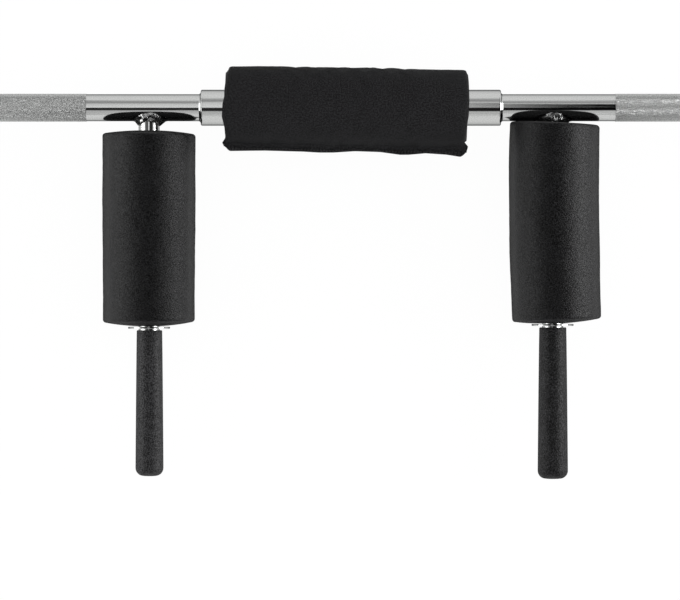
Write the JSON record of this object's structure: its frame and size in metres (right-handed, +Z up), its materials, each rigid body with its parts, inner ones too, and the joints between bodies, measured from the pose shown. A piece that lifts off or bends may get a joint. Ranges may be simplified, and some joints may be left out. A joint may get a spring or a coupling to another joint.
{
  "type": "safety squat bar",
  "caption": "Padded squat bar with forward arms: foam rollers over the shoulders, rubber grips, a neck pad, and turning sleeves for weight plates.",
  "frame": {"origin": "on the floor below the middle of the object's outer box, with the bar lying flat on its rollers", "axes": "+X along the bar, to the right as the picture shows it; the arms point to -Y; +Z up"},
  "size_m": [2.184, 0.435, 0.0966],
  "materials": {
    "chrome": "polished",
    "knurled_chrome": "satin",
    "bronze": "satin",
    "spring_steel": "satin",
    "skinned_foam": "matte",
    "grip_rubber": "matte",
    "black_plastic": "satin",
    "cover_fabric": "matte",
    "padding_foam": "matte",
    "tape_fabric": "matte"
  },
  "bodies": {
    "bar": {"shaft": "knurled_chrome", "centre_tube": "chrome", "left_arm": "chrome", "left_stop_washer": "chrome", "left_grip": "grip_rubber", "left_thrust_washer": "spring_steel", "left_snap_ring": "spring_steel", "right_arm": "chrome", "right_stop_washer": "chrome", "right_grip": "grip_rubber", "right_thrust_washer": "spring_steel", "right_snap_ring": "spring_steel"},
    "neck_pad": {"neck_pad_foam": "padding_foam", "neck_pad_cover": "cover_fabric", "neck_pad_hook_tape": "tape_fabric", "neck_pad_loop_tape": "tape_fabric"},
    "left_roller": {"left_roller": "skinned_foam"},
    "left_sleeve": {"left_sleeve": "chrome", "left_collar": "chrome", "left_inner_bushing": "bronze", "left_outer_bushing": "bronze", "left_end_cap": "black_plastic"},
    "right_roller": {"right_roller": "skinned_foam"},
    "right_sleeve": {"right_sleeve": "chrome", "right_collar": "chrome", "right_inner_bushing": "bronze", "right_outer_bushing": "bronze", "right_end_cap": "black_plastic"}
  },
  "joints": [
    {"name": "neck_pad_slide", "type": "slide", "parent": "bar", "child": "neck_pad", "axis": [1, 0, 0], "range_m": [-0.025, 0.035]},
    {"name": "left_roller_spin", "type": "hinge", "parent": "bar", "child": "left_roller", "pos_m": [-0.21385, 0.051, 0.0483], "axis": [0, 1, 0], "continuous": true},
    {"name": "left_sleeve_spin", "type": "hinge", "parent": "bar", "child": "left_sleeve", "pos_m": [-0.87, 0.176, 0.0483], "axis": [1, 0, 0], "continuous": true},
    {"name": "right_roller_spin", "type": "hinge", "parent": "bar", "child": "right_roller", "pos_m": [0.21385, 0.051, 0.0483], "axis": [0, 1, 0], "continuous": true},
    {"name": "right_sleeve_spin", "type": "hinge", "parent": "bar", "child": "right_sleeve", "pos_m": [0.87, 0.176, 0.0483], "axis": [1, 0, 0], "continuous": true}
  ]
}
